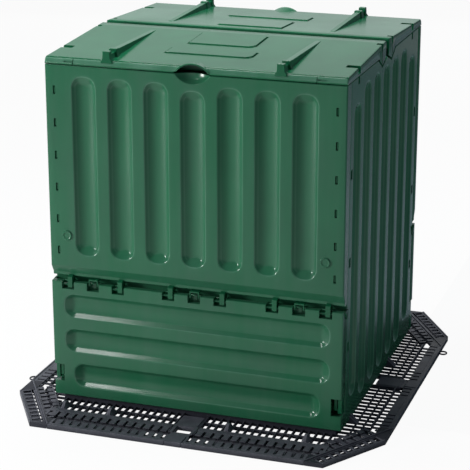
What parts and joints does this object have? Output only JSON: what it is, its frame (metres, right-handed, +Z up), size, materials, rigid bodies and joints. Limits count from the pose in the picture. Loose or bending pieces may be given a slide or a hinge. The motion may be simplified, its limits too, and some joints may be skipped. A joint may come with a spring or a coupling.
{
  "type": "compost bin",
  "caption": "Square garden compost bin of grooved plastic wall panels with hinged lid halves and bottom flaps, standing on a segmented ground grid.",
  "frame": {"origin": "on the ground under the middle of the bin and of the ground grid", "axes": "+Z up; the front flap and front lid face -Y; +X is to the right as the front is looked at"},
  "size_m": [1.072, 1.14, 0.985],
  "materials": {
    "green_plastic": "through-coloured moulded plastic, fine grain",
    "black_plastic": "recycled black moulded plastic"
  },
  "bodies": {
    "bin": {"front_wall": "green_plastic", "rear_wall": "green_plastic", "left_wall": "green_plastic", "right_wall": "green_plastic", "ridge_beam": "green_plastic", "grid_front_left": "black_plastic", "grid_front_right": "black_plastic", "grid_rear_left": "black_plastic", "grid_rear_right": "black_plastic", "grid_edge_front_left": "black_plastic", "grid_edge_front_right": "black_plastic", "grid_edge_rear_left": "black_plastic", "grid_edge_rear_right": "black_plastic", "grid_joiner_front": "black_plastic", "grid_joiner_rear": "black_plastic", "grid_joiner_left": "black_plastic", "grid_joiner_right": "black_plastic"},
    "front_lid": {"front_lid": "green_plastic"},
    "rear_lid": {"rear_lid": "green_plastic"},
    "front_flap": {"front_flap": "green_plastic"},
    "rear_flap": {"rear_flap": "green_plastic"}
  },
  "joints": [
    {"name": "front_lid_hinge", "type": "hinge", "parent": "bin", "child": "front_lid", "pos_m": [0, -0.023, 0.956], "axis": [-1, 0, 0], "range_deg": [0, 85]},
    {"name": "rear_lid_hinge", "type": "hinge", "parent": "bin", "child": "rear_lid", "pos_m": [0, 0.023, 0.956], "axis": [1, 0, 0], "range_deg": [0, 85]},
    {"name": "front_flap_hinge", "type": "hinge", "parent": "bin", "child": "front_flap", "pos_m": [0, -0.39, 0.342], "axis": [-1, 0, 0], "range_deg": [0, 110]},
    {"name": "rear_flap_hinge", "type": "hinge", "parent": "bin", "child": "rear_flap", "pos_m": [0, 0.39, 0.342], "axis": [1, 0, 0], "range_deg": [0, 110]}
  ]
}
